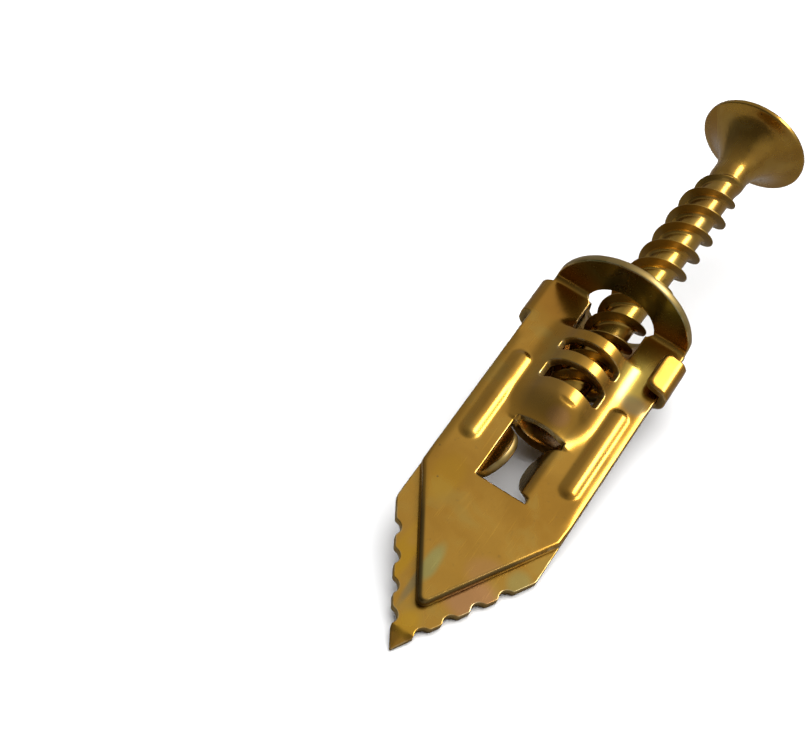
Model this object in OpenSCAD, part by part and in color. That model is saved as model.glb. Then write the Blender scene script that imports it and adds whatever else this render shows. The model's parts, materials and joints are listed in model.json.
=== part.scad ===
/* [Sheet and plates] */
// Thickness of the steel sheet that both plates are stamped from
sheet_t = 0.6; // [0.5:0.05:0.7]
// Width of both plates
plate_w = 11; // [10.8:0.1:12]
// From the top of the flange to the point of the long plate
long_len = 33.2; // [32:0.2:38]
// Length of the arrow point, from its shoulders to its tip
point_len = 10; // [9:0.25:12]
// How far the short plate's point lies behind the long plate's
point_setback = 3.2; // [2.5:0.1:4]
// Gap between the two plates where they lie on each other
plate_gap = 0.04; // [0.02:0.01:0.1]

/* [Flange] */
// Diameter of the disc that the two half flanges form
flange_d = 11.12; // [11:0.04:13]
// Diameter of the hole in the disc
flange_hole_d = 5.56; // [5.2:0.04:6]
// Inner radius of the bend between flange and plate
bend_r = 0.12; // [0.08:0.01:0.3]

/* [Saw teeth] */
// Notches along each edge of the long plate's point
notch_count = 4; // [2:1:4]
// Distance between neighbouring notches
notch_pitch = 2.2; // [1.9:0.05:2.4]
// Radius of each notch
notch_r = 0.65; // [0.55:0.05:0.8]
// How far each notch's centre lies outside the edge
notch_outset = 0.25; // [0:0.05:0.3]
// Length of the bevel on the inner face of the tip
bevel_len = 1.6; // [1:0.1:2]
// Depth of the bevel at the tip
bevel_depth = 0.25; // [0.1:0.05:0.4]

/* [Screw channel] */
// Clearance between the thread's crest and the straps
strap_clear = 0.2; // [0.15:0.05:0.4]
// Distance of the screw's axis from the middle plane, towards the long plate
screw_offset = 0.5; // [0.3:0.05:0.6]
// Half the width of the slots between the straps
slot_half_w = 2.35; // [2.25:0.05:2.4]
// Clearance between the thread's crest and the sides of the neck opening
neck_clear = 0.3; // [0.25:0.05:0.4]
// Radius of the fillet where the channel rises out of the plate
channel_fillet = 0.8; // [0.5:0.1:0.9]
// Radius at the ends of the slots between the straps
slot_corner_r = 0.4; // [0.2:0.05:0.48]
// End of the neck opening in the short plate, below the flange
short_neck_end = 4.4; // [4:0.1:4.6]
// Width of both straps of the short plate
short_strap = 1.05; // [0.8:0.05:1.2]
// Length of the short plate's first slot
short_slot_1 = 1.2; // [1:0.1:1.4]
// Length of the short plate's second slot
short_slot_2 = 1.8; // [1.4:0.1:2]
// Length of the long plate's closed neck, below the flange
long_neck_end = 4; // [3.6:0.1:4.4]
// Width of the long plate's strap
long_strap = 1.2; // [0.9:0.1:1.4]
// Length of the long plate's first slot
long_slot_1 = 1; // [1:0.1:1.3]
// Length of the long plate's second slot
long_slot_2 = 2.7; // [2.2:0.1:3]
// How much the dome narrows from the last slot to the window
dome_narrowing = 0.3; // [0.1:0.1:0.5]
// How far the short plate's dome sinks towards the plate at the window
short_dome_sink = 1.3; // [0.5:0.1:1.4]
// How far the long plate's dome sinks towards the plate at the window
long_dome_sink = 1.4; // [1.2:0.1:1.6]

/* [Window and flaps] */
// Start of the window below the flange
window_start = 13; // [12.8:0.1:13.6]
// Length of the window along the plate
window_len = 5.75; // [5.25:0.05:6.5]
// Width of the window
window_w = 3.86; // [3.6:0.02:4.2]
// How far the flap reaches from its root
flap_reach = 1.6; // [1:0.05:1.7]
// Angle by which the flap is bent out of the plate
flap_bend = 50; // [40:1:60]
// Inner radius of the flap's bend
flap_bend_r = 0.25; // [0.2:0.01:0.35]
// Play between each end of the flap's root and the window's corners
flap_play = 0.475; // [0.3:0.025:0.8]

/* [Ribs] */
// Distance of the ribs from the middle of the plate
rib_x = 4; // [3.9:0.05:4.2]
// Width of each rib
rib_w = 1.3; // [1:0.05:1.4]
// Height of each rib above the plate
rib_h = 0.35; // [0.2:0.05:0.45]
// Width of the shallow groove behind each rib
groove_w = 0.6; // [0.4:0.05:0.8]
// Depth of the groove behind each rib
groove_depth = 0.25; // [0.1:0.05:0.3]
// Start of the ribs below the flange
rib_start = 7.8; // [7.4:0.1:9]
// From the lower end of the ribs to the plate's shoulders
rib_to_shoulder = 3.2; // [2.6:0.1:4.5]

/* [Hooks] */
// Start of the short plate's hook below the flange
short_hook_start = 1.1; // [1:0.1:2.5]
// Start of the long plate's hook below the flange
long_hook_start = 2; // [1:0.1:2.5]
// Length of each hook along the plate's edge
hook_len = 3.4; // [2.8:0.1:3.8]
// How far each hook reaches over the other plate's face
hook_reach = 1.35; // [1:0.05:1.6]
// Play between the hook's lip and the plate under it
hook_play = 0.3; // [0.2:0.05:0.5]
// Clearance between a hook and the edge that it grips
hook_clear = 0.06; // [0.03:0.01:0.15]
// Inner radius of the hook's bends
hook_bend_r = 0.15; // [0.1:0.05:0.25]

/* [Screw] */
// Overall length of the screw
screw_len = 32; // [31:0.1:32.4]
// How far the screw's head stands above the flange
head_stand = 20.1; // [19.7:0.1:21]
// Diameter of the countersunk head
head_d = 8.5; // [7.6:0.1:9.2]
// Height of the cylindrical rim of the head
head_rim = 0.45; // [0.3:0.05:0.8]
// Height of the flared underside of the head
head_flare = 3.35; // [3:0.05:3.8]
// Diameter of the smooth neck under the head
neck_d = 2.8; // [2.6:0.1:3.2]
// Length of the smooth neck
neck_len = 0.9; // [0.5:0.1:2]
// Length over which the neck narrows to the thread's core
neck_taper = 0.8; // [0.4:0.1:1.2]
// Major diameter of the thread
thread_d = 4; // [3.7:0.05:4.2]
// Core diameter of the thread
core_d = 2.5; // [2.2:0.05:2.6]
// Distance between neighbouring crests
thread_pitch = 2; // [1.7:0.1:2.4]
// Number of thread starts
thread_starts = 2; // [1:1:2]
// Width of the crest
crest_w = 0.14; // [0.1:0.02:0.3]
// Width of the thread at its root
root_w = 1; // [0.7:0.05:1.3]
// Length over which the thread runs out below the neck
run_out = 4; // [2:0.5:5]
// Angle about the axis at which the thread's crests start
thread_turn = 71; // [0:1:180]
// Length of the pointed tip
tip_len = 4.5; // [4:0.25:6]
// How far the loose screw leans towards the long plate's hook, in degrees
lean_side = 2.2; // [0:0.1:2.5]
// How far the loose screw leans towards the short plate, in degrees
lean_front = 4.5; // [0:0.1:5]

/* [Drive recess] */
// Width of the cross recess from arm to arm
recess_w = 4.9; // [4:0.1:5.2]
// Width of each arm
recess_arm = 1.05; // [0.8:0.05:1.3]
// Depth of the recess
recess_depth = 2.4; // [1.5:0.1:2.6]
// Radius of the recess's round core
recess_core_r = 1.25; // [1:0.05:1.4]
// Distance of the four marks from the middle of the head
tick_start = 1.7; // [1.6:0.1:2]
// Length of the four marks between the arms
tick_len = 1.2; // [0.5:0.1:1.4]
// Depth of the four marks
tick_depth = 0.12; // [0.05:0.01:0.2]

/* [Hidden] */
$fn = 96;

half_w = plate_w / 2;
inner_y = plate_gap / 2;
outer_y = inner_y + sheet_t;
flange_r = flange_d / 2;
hole_r = flange_hole_d / 2;
bend_out_r = bend_r + sheet_t;
crest_r = thread_d / 2;
core_r = core_d / 2;
channel_in = crest_r + strap_clear;
channel_out = channel_in + sheet_t;
neck_half_w = crest_r + neck_clear;
window_end = window_start + window_len;
window_half = window_w / 2;
flap_root = window_len - 2 * flap_play;
neck_depth = inner_y + bend_out_r + 0.2;
short_len = long_len - point_setback;
far = 4 * plate_w;
eps = 0.01;

// Where the slots, the dome and the ribs of each plate start and end.
short_slot_1_start = short_neck_end + short_strap;
short_slot_1_end = short_slot_1_start + short_slot_1;
short_slot_2_start = short_slot_1_end + short_strap;
short_dome = short_slot_2_start + short_slot_2;
long_slot_1_end = long_neck_end + long_slot_1;
long_slot_2_start = long_slot_1_end + long_strap;
long_dome = long_slot_2_start + long_slot_2;
lean_pivot = (short_neck_end + short_slot_2_start) / 2;

// The anchor lies on the rim of its flange, on its tip and on one shoulder of
// the long plate. floor_lean tips the long plate until all three lie on the floor.
point_angle = atan(half_w / point_len);
tip_arm = sin(point_angle) * (long_len - sheet_t);
lean_a = pow(tip_arm, 2) - pow(flange_r * cos(point_angle), 2);
lean_b = 2 * outer_y * tip_arm;
lean_c = pow(outer_y, 2) - pow(flange_r, 2);
floor_lean = atan((-lean_b + sqrt(pow(lean_b, 2) - 4 * lean_a * lean_c)) / (2 * lean_a));
floor_x = sin(floor_lean) * cos(point_angle);
floor_y = cos(floor_lean);
floor_z = -sin(floor_lean) * sin(point_angle);
rest_roll = atan2(floor_x, floor_y);
rest_pitch = asin(-floor_z);
rest_height = floor_y * outer_y - floor_z * long_len;

// The head's centre and the direction of its axis, seen in the lying anchor's
// roll, give how far the head reaches along the table.
head_arm = head_stand + lean_pivot;
head_dir_x = cos(lean_front) * sin(lean_side);
head_dir_y = -sin(lean_front);
head_dir_z = cos(lean_front) * cos(lean_side);
head_up = sin(rest_roll) * head_dir_x + cos(rest_roll) * head_dir_y;
head_dir = sin(rest_pitch) * head_up + cos(rest_pitch) * head_dir_z;
pivot_front = sin(rest_pitch) * cos(rest_roll) * screw_offset - lean_pivot * cos(rest_pitch);
rest_front = head_arm * head_dir + head_d / 2 * sqrt(1 - pow(head_dir, 2)) + pivot_front;
tip_y = inner_y + bevel_depth;
rest_back = tip_y * cos(rest_roll) * sin(rest_pitch) - long_len * cos(rest_pitch);

// Lays the upright anchor down as it rests on a table, head towards +Y.
module lying_down() {
    translate([0, -(rest_front + rest_back) / 2, rest_height])
        rotate([rest_pitch - 90, 0, 0])
            rotate([0, 0, rest_roll])
                children();
}

// Extrudes an outline, drawn in X and Z, from one Y to a greater one.
module along_y(from_y, to_y) {
    translate([0, to_y, 0])
        rotate([90, 0, 0])
            linear_extrude(to_y - from_y)
                children();
}

// Keeps what lies on the outer side of the plate's inner face.
module outer_side() {
    intersection() {
        union() children();
        translate([-far / 2, -far - inner_y, -far])
            cube([far, far, 2 * far]);
    }
}

// A plate is drawn with its outer face towards -Y and the screw's axis on Z.
module plate_outline(len) {
    shoulder = len - point_len;
    polygon([
        [-half_w, -bend_out_r],
        [half_w, -bend_out_r],
        [half_w, -shoulder],
        [0, -len],
        [-half_w, -shoulder]
    ]);
}

// Scalloped notches, centred along both edges of the point.
module saw_notches(len) {
    edge_len = norm([half_w, point_len]);
    first = (edge_len - (notch_count - 1) * notch_pitch) / 2;
    for (side = [-1, 1], i = [0:notch_count - 1]) {
        along = first + i * notch_pitch;
        edge_x = half_w - along * sin(point_angle) + notch_outset * cos(point_angle);
        edge_z = point_len - len - along * cos(point_angle) - notch_outset * sin(point_angle);
        translate([side * edge_x, edge_z])
            circle(notch_r);
    }
}

module slot(start, end) {
    corner_x = slot_half_w - slot_corner_r;
    for (x = [-corner_x, corner_x], z = [-start - slot_corner_r, -end + slot_corner_r])
        translate([x, z])
            circle(slot_corner_r);
    translate([-corner_x, -end])
        square([2 * corner_x, end - start]);
    translate([-slot_half_w, -end + slot_corner_r])
        square([2 * slot_half_w, end - start - 2 * slot_corner_r]);
}

// Quarter bend and half disc that turn the plate's upper end into its flange.
module half_flange() {
    difference() {
        intersection() {
            union() {
                translate([-flange_r, -inner_y - bend_out_r, -bend_out_r])
                    rotate([90, 0, 90])
                        linear_extrude(flange_d)
                            quarter_ring(bend_r, bend_out_r);
                translate([-flange_r, -flange_r, -sheet_t])
                    cube([flange_d, flange_r - inner_y - bend_out_r + eps, sheet_t]);
            }
            translate([0, 0, -bend_out_r])
                cylinder(r = flange_r, h = bend_out_r);
        }
        translate([0, 0, -bend_out_r - eps])
            cylinder(r = hole_r, h = bend_out_r + 2 * eps);
    }
}

module quarter_ring(r_in, r_out) {
    intersection() {
        difference() {
            circle(r_out);
            circle(r_in);
        }
        square(r_out);
    }
}

// The round channel that the screw runs in, and the dome that closes it, with
// the radius of its outside or of its inside. Its axis lies at axis_y.
module channel(top, dome_start, r, axis_y, sink) {
    dome_len = window_start - dome_start;
    sink_angle = atan(sink / dome_len);
    axis_len = norm([dome_len, sink]);
    lap = 1.6;
    lap_narrowing = dome_narrowing * lap / axis_len;
    r_start = r * cos(sink_angle) * 1.04;
    outer_side() {
        translate([0, axis_y, -dome_start])
            cylinder(r = r, h = dome_start - top);
        intersection() {
            translate([0, axis_y, -dome_start])
                rotate([180 + sink_angle, 0, 0])
                    translate([0, 0, -lap])
                        cylinder(r1 = r_start + lap_narrowing,
                                 r2 = r_start - dome_narrowing - lap_narrowing,
                                 h = axis_len + 2 * lap);
            translate([-far / 2, -far / 2, -window_start])
                cube([far, far, dome_len + eps]);
        }
    }
}

// Concave fillets along both feet of the channel.
module channel_feet(top, end, axis_y) {
    foot_y = -outer_y - channel_fillet;
    foot_x = sqrt(pow(channel_out + channel_fillet, 2) - pow(foot_y - axis_y, 2));
    share = channel_out / (channel_out + channel_fillet);
    touch = [foot_x * share, axis_y + (foot_y - axis_y) * share];
    translate([0, 0, -end])
        linear_extrude(end - top)
            for (side = [0, 1])
                mirror([side, 0])
                    difference() {
                        polygon([
                            touch,
                            [foot_x, -outer_y],
                            [foot_x, -outer_y + sheet_t / 2],
                            [channel_in + sheet_t / 2, -outer_y + sheet_t / 2]
                        ]);
                        translate([foot_x, foot_y])
                            circle(channel_fillet);
                    }
}

// A long shallow ridge with round ends, sunk into a face of the plate.
module ridge(x, end, width, height, face_y) {
    r = (pow(width / 2, 2) + pow(height, 2)) / (2 * height);
    top = -rib_start - width / 2;
    bottom = -end + width / 2;
    translate([x, face_y - height + r, 0]) {
        translate([0, 0, bottom])
            cylinder(r = r, h = top - bottom);
        translate([0, 0, top])
            sphere(r);
        translate([0, 0, bottom])
            sphere(r);
    }
}

// Side flap of the window, bent through the other plate's window.
module window_flap() {
    bend_mid = (flap_bend_r + sheet_t / 2) * sin(flap_bend);
    bow_r = (pow(flap_root / 2, 2) + pow(flap_reach, 2)) / (2 * flap_reach);
    straight = flap_reach - bend_mid;
    translate([window_half, flap_bend_r - inner_y, -window_start - flap_play - flap_root]) {
        intersection() {
            union() {
                linear_extrude(flap_root)
                    flap_bend_section();
                rotate([0, 0, -flap_bend])
                    translate([-straight, -flap_bend_r - sheet_t, 0])
                        cube([straight + eps, sheet_t, flap_root]);
            }
            rotate([0, 0, -flap_bend])
                translate([bow_r - straight, far / 2, flap_root / 2])
                    rotate([90, 0, 0])
                        cylinder(r = bow_r, h = far);
        }
        translate([-eps, -flap_bend_r - sheet_t, 0])
            cube([0.2, sheet_t, flap_root]);
    }
}

module flap_bend_section() {
    reach = 4 * sheet_t;
    intersection() {
        difference() {
            circle(flap_bend_r + sheet_t);
            circle(flap_bend_r);
        }
        polygon([
            [0, 0],
            [0, -reach],
            [-reach, -reach],
            [-reach * sin(flap_bend), -reach * cos(flap_bend)]
        ]);
    }
}

// Hook that wraps around the other plate's edge, at the plate's -X side.
module hook(start) {
    wall_in = half_w + hook_clear;
    wall_out = wall_in + sheet_t;
    lip_in = outer_y + hook_play;
    lip_out = lip_in + sheet_t;
    corner = hook_bend_r + sheet_t;
    intersection() {
        translate([0, 0, -start - hook_len])
            linear_extrude(hook_len)
                difference() {
                    translate([-wall_out, -outer_y])
                        left_rounded(far, outer_y + lip_out, corner);
                    translate([-wall_in, -inner_y])
                        left_rounded(far, inner_y + lip_in, hook_bend_r);
                    translate([-half_w + 0.3, -far])
                        square([far, far - inner_y]);
                }
        along_y(-far, far)
            lip_outline(start);
    }
}

// Outline of the hook in X and Z, with round corners at the lip's free end.
module lip_outline(start) {
    r = sheet_t;
    lip_end = -half_w + hook_reach;
    translate([lip_end - far, -start - hook_len])
        square([far - r, hook_len]);
    translate([lip_end - far, -start - hook_len + r])
        square([far, hook_len - 2 * r]);
    for (z = [-start - r, -start - hook_len + r])
        translate([lip_end - r, z])
            circle(r);
}

module left_rounded(w, h, r) {
    translate([r, 0])
        square([w - r, h]);
    translate([0, r])
        square([w, h - 2 * r]);
    for (y = [r, h - r])
        translate([r, y])
            circle(r);
}

// Bevel on the inner face of the tip.
module tip_bevel(len) {
    translate([-half_w, 0, -len])
        rotate([90, 0, 90])
            linear_extrude(plate_w)
                polygon([
                    [-inner_y - bevel_depth, -eps],
                    [far, -eps],
                    [far, bevel_len],
                    [-inner_y, bevel_len]
                ]);
}

// What both plates share: sheet, flange, channel, ribs, window, flap and hook.
module stamped_plate(len, neck_end, dome_start, axis_y, sink, hook_start) {
    rib_end = len - point_len - rib_to_shoulder;
    difference() {
        union() {
            along_y(-outer_y, -inner_y)
                plate_outline(len);
            half_flange();
            channel(neck_end, dome_start, channel_out, axis_y, sink);
            channel_feet(neck_end, dome_start, axis_y);
            outer_side()
                for (x = [-rib_x, rib_x])
                    ridge(x, rib_end, rib_w, rib_h, -outer_y);
        }
        channel(neck_end - sheet_t, dome_start, channel_in, axis_y, sink);
        for (x = [-rib_x, rib_x])
            ridge(x, rib_end, groove_w, groove_depth, -inner_y);
        along_y(-far, far)
            translate([-window_half, -window_end])
                square([window_w, window_len]);
    }
    window_flap();
    hook(hook_start);
}

module short_plate() {
    color([0.72, 0.56, 0.25])
        difference() {
            stamped_plate(short_len, short_neck_end, short_dome,
                          screw_offset, short_dome_sink, short_hook_start);
            along_y(-far, far) {
                slot(short_slot_1_start, short_slot_1_end);
                slot(short_slot_2_start, short_dome);
            }
            along_y(-neck_depth, 0)
                translate([-neck_half_w, -short_neck_end])
                    square([2 * neck_half_w, short_neck_end + eps]);
        }
}

module long_plate() {
    color([0.78, 0.6, 0.22])
        rotate([0, 0, 180])
            difference() {
                stamped_plate(long_len, sheet_t, long_dome,
                              -screw_offset, long_dome_sink, long_hook_start);
                along_y(-far, 0) {
                    saw_notches(long_len);
                    slot(long_neck_end, long_slot_1_end);
                    slot(long_slot_2_start, long_dome);
                }
                tip_bevel(long_len);
            }
}

// ---- the screw ----

// Outline of head, neck, core and tip, turned about the axis.
module screw_body() {
    flare_top = head_stand - head_rim;
    flare_end = flare_top - head_flare;
    flare_w = head_d / 2 - neck_d / 2;
    flare_r = (pow(flare_w, 2) + pow(head_flare, 2)) / (2 * flare_w);
    rotate_extrude()
        difference() {
            polygon([
                [0, head_stand],
                [head_d / 2 - 0.08, head_stand],
                [head_d / 2, head_stand - 0.08],
                [head_d / 2, flare_top],
                [head_d / 2 - 0.15, flare_top - 0.12],
                [neck_d / 2, flare_end],
                [neck_d / 2, flare_end - neck_len],
                [core_r, flare_end - neck_len - neck_taper],
                [core_r, head_stand - screw_len + tip_len],
                [0, head_stand - screw_len]
            ]);
            translate([neck_d / 2 + flare_r, flare_end])
                circle(flare_r);
        }
}

function thread_grow(z) =
    min(1, (head_stand - head_rim - head_flare - neck_len - z) / run_out + 0.2);

function tip_grow(z) = min(1, max(0, (z - head_stand + screw_len) / tip_len));

function crest_at(z) =
    (core_r + (crest_r - core_r) * max(0.05, thread_grow(z))) * tip_grow(z);

// One ridge of the thread: a trapezoid swept along its helix.
module thread_ridge(turn) {
    sides = 24;
    lead = thread_pitch * thread_starts;
    z_top = head_stand - head_rim - head_flare - neck_len;
    z_end = head_stand - screw_len + 0.4;
    steps = floor((z_top - z_end) / lead * sides);
    points = [
        for (i = [0:steps])
            let (z = z_end + i * lead / sides, a = i * 360 / sides + turn, out = crest_at(z),
                 base = max(0.06, (core_r - 0.12) * tip_grow(z)), f = (out - base) / (crest_r - core_r))
                for (p = [[base, -f * root_w / 2], [out, -crest_w / 2], [out, crest_w / 2], [base, f * root_w / 2]])
                    [p.x * cos(a), p.x * sin(a), z + p.y]
    ];
    sides_of = [
        for (i = [0:steps - 1], j = [0:3])
            let (p = 4 * i + j, q = 4 * i + (j + 1) % 4)
                for (tri = [[p, q, q + 4], [p, q + 4, p + 4]])
                    tri
    ];
    ends = [[3, 2, 1, 0], [for (j = [0:3]) 4 * steps + j]];
    polyhedron(points, concat(sides_of, ends));
}

// Cross recess with tapered arms, and four shallow marks between them.
module drive_recess() {
    translate([0, 0, head_stand]) {
        intersection() {
            union() {
                for (turn = [0, 90])
                    rotate([0, 0, turn])
                        translate([-recess_w / 2, -recess_arm / 2, -recess_depth])
                            cube([recess_w, recess_arm, 2 * recess_depth]);
                translate([0, 0, -recess_depth])
                    cylinder(r1 = 0.8 * recess_core_r, r2 = recess_core_r, h = recess_depth + eps);
            }
            translate([0, 0, -recess_depth])
                cylinder(r1 = 0.45 * recess_w / 2, r2 = recess_w / 2, h = recess_depth + eps);
        }
        for (turn = [45:90:315])
            rotate([0, 0, turn])
                translate([tick_start, -0.07, -tick_depth])
                    cube([tick_len, 0.14, 1]);
    }
}

module screw() {
    color([0.66, 0.48, 0.16])
        difference() {
            union() {
                screw_body();
                for (start = [0:thread_starts - 1])
                    thread_ridge(thread_turn + start * 360 / thread_starts);
            }
            drive_recess();
        }
}

// Tips the screw about the middle of the straps that hold it.
module leaning() {
    translate([0, screw_offset, -lean_pivot])
        rotate([lean_front, lean_side, 0])
            translate([0, 0, lean_pivot])
                children();
}

lying_down() long_plate();
lying_down() short_plate();
lying_down() leaning() screw();
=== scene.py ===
"""Looks of a self-drilling drywall anchor that lies on a table: two stamped plates and a loose screw.

Each plate is drawn as the flat blank that the press cuts, meshed, and then folded by functions.
"""

import json
import math

import bmesh
import bpy
import numpy as np
from mathutils import Matrix, Vector
from mathutils.geometry import delaunay_2d_cdt


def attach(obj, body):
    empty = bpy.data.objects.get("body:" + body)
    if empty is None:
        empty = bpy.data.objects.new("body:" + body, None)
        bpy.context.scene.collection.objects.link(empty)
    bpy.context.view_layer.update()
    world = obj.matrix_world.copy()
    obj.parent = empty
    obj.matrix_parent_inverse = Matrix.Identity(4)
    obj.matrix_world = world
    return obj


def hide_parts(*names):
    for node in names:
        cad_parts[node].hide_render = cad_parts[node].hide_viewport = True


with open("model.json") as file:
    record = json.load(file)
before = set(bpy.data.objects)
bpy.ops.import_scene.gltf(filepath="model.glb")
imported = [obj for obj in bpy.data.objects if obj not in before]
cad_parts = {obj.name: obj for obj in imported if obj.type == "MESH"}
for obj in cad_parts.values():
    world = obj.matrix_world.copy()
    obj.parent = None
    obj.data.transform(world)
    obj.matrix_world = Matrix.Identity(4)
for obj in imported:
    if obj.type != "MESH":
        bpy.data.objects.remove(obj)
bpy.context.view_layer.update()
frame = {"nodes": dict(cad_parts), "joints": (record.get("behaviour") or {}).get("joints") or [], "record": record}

MM = 0.001

# ---- sizes of the plates, in mm ----
# Places along a plate are measured down from the flange's top; names in _Z are heights with their sign.
SHEET = 0.6
INNER_Y = 0.02              # from the plates' middle plane to the inner face
OUTER_Y = INNER_Y + SHEET
HALF_W = 5.5
POINT_LEN = 10.0
LONG_LEN = 33.2
SHORT_LEN = 30.0
FLANGE_R = 5.56
HOLE_R = 2.78
HINGE_Z = -0.72
SCREW_OFFSET = 0.5          # the screw's axis off the middle plane, towards the long plate

NECK_HALF = 2.3             # the short plate's open neck
NECK_FOOT = 4.4
NECK_CORNER = 0.5
NECK_TOP = 1.2
HOLE_FOOT = 0.45
HOLE_NIP = 0.03             # how far the hole's edge has turned in at its foot
ARCH_Z = -0.615             # the long plate's closed neck
ARCH_FILLET = 0.25
ARCH_FILLET_FROM = 1.5
ARCH_SWELL = 0.35
ARCH_SWELL_FROM = 1.3

CHANNEL_R = 2.8
CHANNEL_PAST = 0.3          # how far it reaches below the window's upper edge
RUN_OUT_AT = 2.4            # where the channel has run out below the open neck
RUN_OUT_LOSS = (0.95, 0.3)  # what its height and its width have lost there
DOME_FROM = 0.9             # the dome's slope starts so far below the last slot
DOME_TO = 0.4
SLOT_HALF = 2.35
SLOT_CORNER = 0.4
SHORT_SLOTS = ((5.45, 6.65), (7.7, 9.5))
LONG_SLOTS = ((4.0, 5.0), (6.2, 8.9))

WINDOW = (13.0, 18.75)
WINDOW_HALF = 1.93
FLAP_REACH = 1.6
FLAP_PLAY = 0.475
FLAP_R = 0.25
FLAP_BEND = math.radians(50)

RIB_X = 4.0
RIB_HALF = 0.8
RIB_R = 1.1
RIB_H = 0.26
RIB_FOOT = 0.45
RIB_START = 7.8
RIB_TO_SHOULDER = 3.2

SCAR_AT = (0.5, -10.85)     # the small groove on the short plate's dome
SCAR_BOW = 0.3
SCAR_DEPTH = 0.055
SCAR_W = 0.2
SCAR_FLAT = 0.3
SCAR_HALF = 0.75

HOOK_X = -5.41
HOOK_Y = (0.13, 0.77)
HOOK_R = 0.15
HOOK_ARC = math.pi / 2 * (HOOK_R + SHEET / 2)
HOOK_LIP = 1.26
LIP_RISE = math.radians(10)
HOOK_END = -HOOK_X + 2 * HOOK_ARC + HOOK_Y[1] - HOOK_Y[0] + HOOK_LIP
HOOK_LEN = 3.4
HOOK_CORNER = 0.6

NOTCHES = 4
NOTCH_PITCH = 2.2
NOTCH_R = 0.65
NOTCH_OUTSET = 0.25
POINT_TIP_R = 0.5
TIP_BEVEL_LEN = 1.6
TIP_BEVEL_DEPTH = 0.25
FACET_SHARE = 0.5           # the facets along the long tip's edges, as a share of the bevel
FACET_RISE = 4
FACET_W = 0.8

ROLL_OUT = 0.1              # radius of the rounded outer edge
ROLL_POINT = 0.28           # the same along the short plate's point
ROLL_LIP = 0.24             # the same on the hook's lip
ROLL_IN = 0.035             # radius of the rounded inner edge
POINT_EASE = 2.0
DIE_ROLL = 0.12             # sag of the face towards the long sides
DIE_WIDE = 0.7
DIE_SIDE = (4.3, 4.6)
DIE_TOP = (6.2, 7.4)
DIE_FADE = 4.0

# ---- sizes of the screw, in mm ----
PIVOT_Z = -6.05
HEAD_TOP = 20.1
HEAD_R = 4.25
HEAD_RIM = 0.45
HEAD_FLARE = 3.35
FLARE_FULL = 0.2            # 0 is an arc, 1 is a straight cone
FLARE_STOP = 0.06
RIM_PROFILE = ((0.0, 0.09), (0.04, 0.03), (0.1, 0.0), (0.28, 0.0), (0.36, 0.02), (0.42, 0.07))
TOP_R = HEAD_R - 0.16
NECK_R = 1.4
NECK_END = 15.4
NECK_TAPER = 0.8
NECK_EDGE = 0.3             # extra rings beside the two ends of the neck
FLARE_EDGE = 0.2
CORE_R = 1.25
CREST_R = 2.0
LEAD = 4.0
STARTS = 2
PITCH = LEAD / STARTS
THREAD_TURN = 71.0
CREST_Z = -11.5
TIP_Z = -11.9
TIP_LEN = 4.5
RUN_OUT = 4.0
RUN_OUT_LEFT = 0.2          # share of the thread's height that is left at the neck
THREAD_LEAST = 0.05
THREAD_GAP = 0.05
THREAD_STOP = 0.5
CREST_HALF = 0.04
FLANK_W = 0.34
FLANK_HOLLOW = 1.3          # exponent: 1 is a straight flank
RECESS_R = 2.45
RECESS_ARM = 0.525
RECESS_DEPTH = 2.4
RECESS_CORE = 1.25
RECESS_DIP = 0.25
RECESS_LEVELS = (0, 0.06, 0.5, 1.0, 1.5, 1.9, 2.2, RECESS_DEPTH)
REACH_LOSS = 0.55           # how much narrower the recess is at its bottom
CORE_LOSS = 0.2
ARM_LOSS = 0.12
ARM_LEAST = 0.02
TICK_START = 1.7
TICK_LEN = 1.2
TICK_HALF = 0.07
TICK_DEPTH = 0.12
TICK_DRAFT = 0.02

# ---- how finely the meshes are made, in mm unless a comment says otherwise ----
GRID = 0.17
ROW_SHARE = 0.87            # share of GRID between two rows of the triangular grid
GRID_CLEAR = 0.4            # share of GRID that it keeps off the last ring
RIM_STEP = 0.12
RINGS = (0.03, 0.07, 0.13, 0.21, 0.3)
RING_KEEP = 0.93            # share of its distance that a ring keeps to every outline
SLOPE_STEP = 0.01
CREST_ROWS = (0, 0.04, 0.07, 0.12, 0.18, 0.25, 0.33, 0.42, 0.55, 0.75)
TINY = 1e-6
MERGE = 1e-5
ON_RIM = 1e-4
WELD_M = 2e-6               # in metres
DEGENERATE_M = 1e-6         # in metres
CREASE = math.radians(50)   # edges sharper than this are shaded as edges

# how many points, rings or sides
NOTCH_POINTS = 16
FLAP_POINTS = 40
SIDES = 96
FLARE_RINGS = 28
RECESS_END_POINTS = 3
RECESS_ARM_POINTS = 6
BATCH = 2000

# rim_gap is a plate's distance to the cut edge; on the screw it is 0 on the flanks and AWAY elsewhere, so that the
# flanks take the cut colour as painted shade
AWAY = 2.0
FLANK_SHADE_SHARE = 0.7            # share of a flank that counts
CORE_CLEAR = 0.1


class Fold:
    """Where a plate's sheet turns outwards into its half of the flange."""

    def __init__(self, inner_r):
        self.inner_r = inner_r
        self.z = -SHEET - inner_r
        self.y = OUTER_Y + inner_r
        self.arc = math.pi / 2 * (inner_r + SHEET / 2)
        self.end = self.z + self.arc


class Plate:
    """One of the two plates, each in a frame where its outer face looks towards -Y."""

    def __init__(self, name, length, slots, bend_r, fillet, axis_y, dome_end, hook,
                 notched=False, open_neck=False, scar=False):
        self.name = name
        self.length = length
        self.slots = slots
        self.fold = Fold(bend_r)
        self.fillet = fillet
        self.axis_y = axis_y
        self.dome_from = slots[-1][1] + DOME_FROM
        self.dome_end = dome_end
        self.hook = hook
        self.notched = notched
        self.open_neck = open_neck
        self.scar = scar
        self.shoulder = length - POINT_LEN
        self.rib_end = self.shoulder - RIB_TO_SHOULDER


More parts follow.
